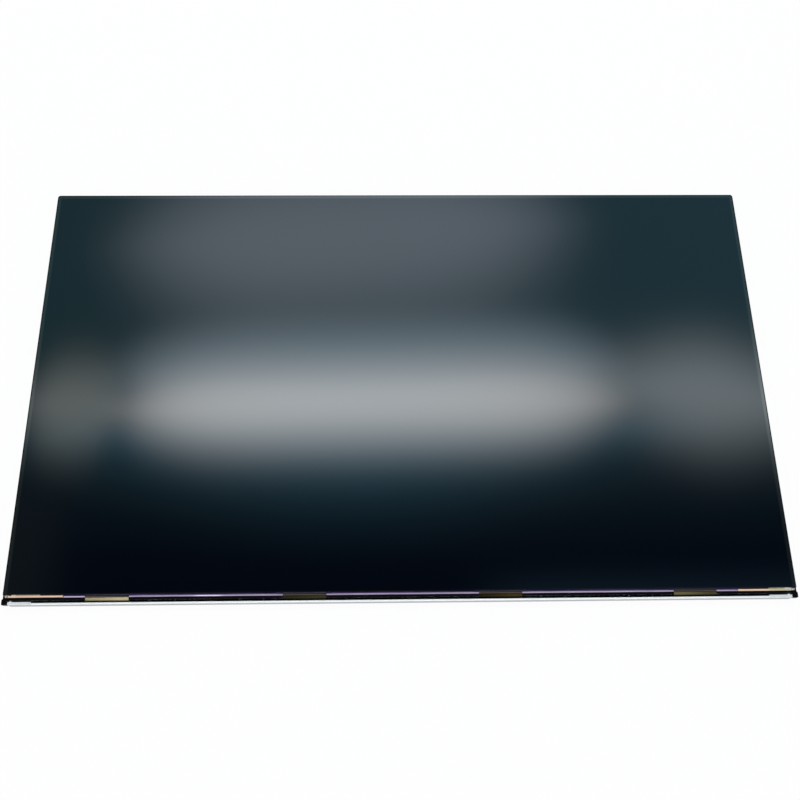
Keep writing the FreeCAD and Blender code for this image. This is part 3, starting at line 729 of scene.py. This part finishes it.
def cross_outline(half, reach):
    """Distance from the axis to the edge of a cross, in each direction: the farther edge of its two bars."""
    level = np.abs(np.cos(around)) + 1e-9
    upright = np.abs(np.sin(around)) + 1e-9
    return np.maximum(np.minimum(reach / level, half / upright), np.minimum(half / level, reach / upright))


def thread_swell(depth):
    """How far a thread stands off its root: a triangle wave along the axis, one pitch on in each turn."""
    winding = np.abs(np.mod(depth[:, None] / thread_pitch - around / (2.0 * np.pi), 1.0) - 0.5) * 2.0
    return thread_depth * winding


cross = cross_outline(arm_half, arm_reach)
circle = np.ones(around.size)
recess_rings = np.outer((near_axis, 0.4, 0.8), cross)
face_rings = np.stack((cross, 0.5 * (cross + head_radius - head_round)))
rim_turn = np.linspace(0.0, np.pi / 2, 6)
rim_rings = np.outer(head_radius - head_round * (1.0 - np.sin(rim_turn)), circle)
rim_depth = head_face + head_round * (1.0 - np.cos(rim_turn))
seat_rings = np.outer((head_radius, root_radius), circle)
shank_depth = np.linspace(head_seat + neck, shank_end - tip_length, 60)
shank_rings = root_radius + thread_swell(shank_depth)
tip_rings = np.outer((tip_radius, near_axis), circle)
radius = np.concatenate((recess_rings, face_rings, rim_rings, seat_rings, shank_rings, tip_rings))
depth = np.concatenate((np.full(3, head_face + recess_depth), np.full(2, head_face), rim_depth,
                        np.full(2, head_seat), shank_depth, np.full(2, shank_end)))
screw_rings = np.stack(np.broadcast_arrays(radius * np.cos(around), screw_y + radius * np.sin(around),
                                           depth[:, None]), axis=-1)
screws = piece_from_sections("screws", copies_along_x(screw_rings, screw_x), nickel)
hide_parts("cover_screws")


# The floor is a plain matt white table under the panel.
# It reads as white ground and still takes the panel's soft shadow.
def is_background_ray(field):
    """1 for rays from the camera and for mirrored or refracted ones, which see the ground as plain white."""
    rays = [field.node("ShaderNodeLightPath", output=kind)
            for kind in ("Is Camera Ray", "Is Glossy Ray", "Is Transmission Ray")]
    return field.math("MINIMUM", rays[0] + rays[1] + rays[2], 1.0)


floor_side, white_share = 8.0, 0.95
floor_corners = np.array([(-1, -1, 0), (1, -1, 0), (1, 1, 0), (-1, 1, 0)]) * floor_side / 2
floor_mesh = bpy.data.meshes.new("floor")
floor_mesh.from_pydata(floor_corners.tolist(), [], [(0, 1, 2, 3)])
floor = bpy.data.objects.new("floor", floor_mesh)
bpy.context.scene.collection.objects.link(floor)
table_top, place = open_finish("white_table")
diffuse = place.node("ShaderNodeBsdfDiffuse", sockets={"Color": (0.92, 0.92, 0.92, 1.0)})
glow = place.node("ShaderNodeEmission", sockets={"Color": (1.0, 1.0, 1.0, 1.0), "Strength": 1.0})
whitened = white_share * is_background_ray(place)
ground = place.node("ShaderNodeMixShader", sockets={0: whitened, 1: diffuse, 2: glow})
ground.node("ShaderNodeOutputMaterial", sockets={"Surface": ground})
floor_mesh.materials.append(table_top)


# The studio has pale walls and a dark ceiling, with soft lamps over the far edge of the panel.
# The face mirrors that part of the ceiling, so each lamp is one of the glows on it.
world = bpy.data.worlds.new("studio")
world.use_nodes = True
world.node_tree.nodes.clear()
bpy.context.scene.world = world
sky = Field(world.node_tree).node("ShaderNodeTexCoord", output="Generated")
height = sky.along("Z")
slope = sky.along("Y") / height.math("MAXIMUM", height, 0.05)
aside = sky.along("X") / height.math("MAXIMUM", height, 0.05)
walls = height.rise(0.78, 0.60)
far_ceiling = slope.rise(0.18, 0.52) * height.rise(0.05, 0.2)
far_tint = aside.rise(-0.45, 0.45).between((0.205, 0.516, 0.597), (0.275, 0.637, 0.80))
right_patch = slope.rise(0.198, 0.163) * aside.rise(0.06, 0.18)
left_patch = aside.rise(-0.325, -0.385) * slope.rise(0.32, 0.24)
ceiling = far_ceiling.between((0.0, 0.0, 0.01), far_tint)
ceiling = right_patch.between(ceiling, (0.086, 0.163, 0.258))
ceiling = left_patch.between(ceiling, (0.092, 0.119, 0.130))
studio = walls.between(ceiling, (1.0, 1.0, 1.0))
light = sky.node("ShaderNodeBackground", sockets={"Color": studio, "Strength": 1.0})
light.node("ShaderNodeOutputWorld", sockets={"Surface": light})


def hang_lamp(name, centre, reach, shape, turn, radiance, aim=None):
    """A soft lamp that faces down or to a point, turned a little about its axis. Its strength is a smooth
    step of 1 less the offsets across and along, each a share of the reach raised to its own power. The third
    number of its shape is the power of that step."""
    lamp = bpy.data.lights.new(name, "AREA")
    lamp.shape = "RECTANGLE"
    lamp.size = 2.0 * reach[0]
    lamp.size_y = 2.0 * reach[1]
    lamp.energy = np.pi * lamp.size * lamp.size_y
    lamp.use_nodes = True
    lamp.node_tree.nodes.clear()
    spot = Field(lamp.node_tree).node("ShaderNodeNewGeometry", output="Parametric")
    across = spot.math("POWER", abs(spot.along("X") * 2.0 - 1.0), shape[0])
    along = spot.math("POWER", abs(spot.along("Y") * 2.0 - 1.0), shape[1])
    strength = spot.math("POWER", (across + along).rise(1.0, 0.0), shape[2])
    glow = spot.node("ShaderNodeEmission", sockets={"Color": (*radiance, 1.0), "Strength": strength})
    glow.node("ShaderNodeOutputLight", sockets={"Surface": glow})
    holder = bpy.data.objects.new(name, lamp)
    facing = Vector((0.0, 0.0, -1.0)) if aim is None else Vector(aim) - Vector(centre)
    faced = facing.to_track_quat("-Z", "Y").to_matrix().to_4x4()
    holder.matrix_world = Matrix.Translation(centre) @ faced @ Matrix.Rotation(turn, 4, "Z")
    holder.visible_camera = False
    bpy.context.scene.collection.objects.link(holder)


hang_lamp("main_lamp", (-0.044, 0.656, 1.80), (0.815, 0.299),
          (5.6, 1.103, 2.832), 0.013, (7.72, 7.17, 6.80))
hang_lamp("left_lamp", (-0.872, 0.668, 1.81), (0.180, 0.305),
          (2.8, 0.981, 2.002), -0.053, (2.50, 2.56, 2.37))
hang_lamp("right_lamp", (0.909, 0.697, 1.82), (0.602, 0.396),
          (1.755, 1.081, 2.624), -0.130, (3.01, 3.32, 3.46))
hang_lamp("far_lamp", (-0.112, 1.221, 1.83), (0.927, 0.700),
          (3.2, 1.26, 3.43), 0.065, (2.01, 2.13, 2.45))
hang_lamp("middle_lamp", (-0.059, 0.789, 1.84), (0.841, 0.279),
          (5.6, 1.473, 2.809), 0.027, (2.28, 2.86, 3.28))
hang_lamp("near_lamp", (-0.077, 0.599, 1.85), (1.391, 0.518),
          (1.892, 0.8, 2.652), 0.006, (0.25, 1.19, 1.81))
hang_lamp("front_lamp", (0.0, -1.7, 1.5), (1.2, 0.7),
          (4.0, 4.0, 1.0), 0.0, (1.42, 1.42, 1.42), aim=(0.0, 0.0, 0.0))


# The camera stands above and in front of the panel and has a normal lens.
# It is turned a little to the right and tilted, as in the photograph.
camera = bpy.data.cameras.new("camera")
camera.sensor_width = 36.0
camera.lens = 41.95
eye = (-0.0135, -0.2595, 0.6438)
heading, dip, roll = np.radians((3.107, 68.891, 2.574))
look = Vector((np.sin(heading) * np.cos(dip), np.cos(heading) * np.cos(dip), -np.sin(dip)))
level = Vector((np.cos(heading), -np.sin(heading), 0.0))
upright = level.cross(look)
right = level * np.cos(roll) + upright * np.sin(roll)
up = upright * np.cos(roll) - level * np.sin(roll)
stand = bpy.data.objects.new("camera", camera)
stand.matrix_world = Matrix.Translation(eye) @ Matrix((right, up, -look)).transposed().to_4x4()
bpy.context.scene.collection.objects.link(stand)
bpy.context.scene.camera = stand
bpy.context.scene.view_settings.view_transform = "Standard"
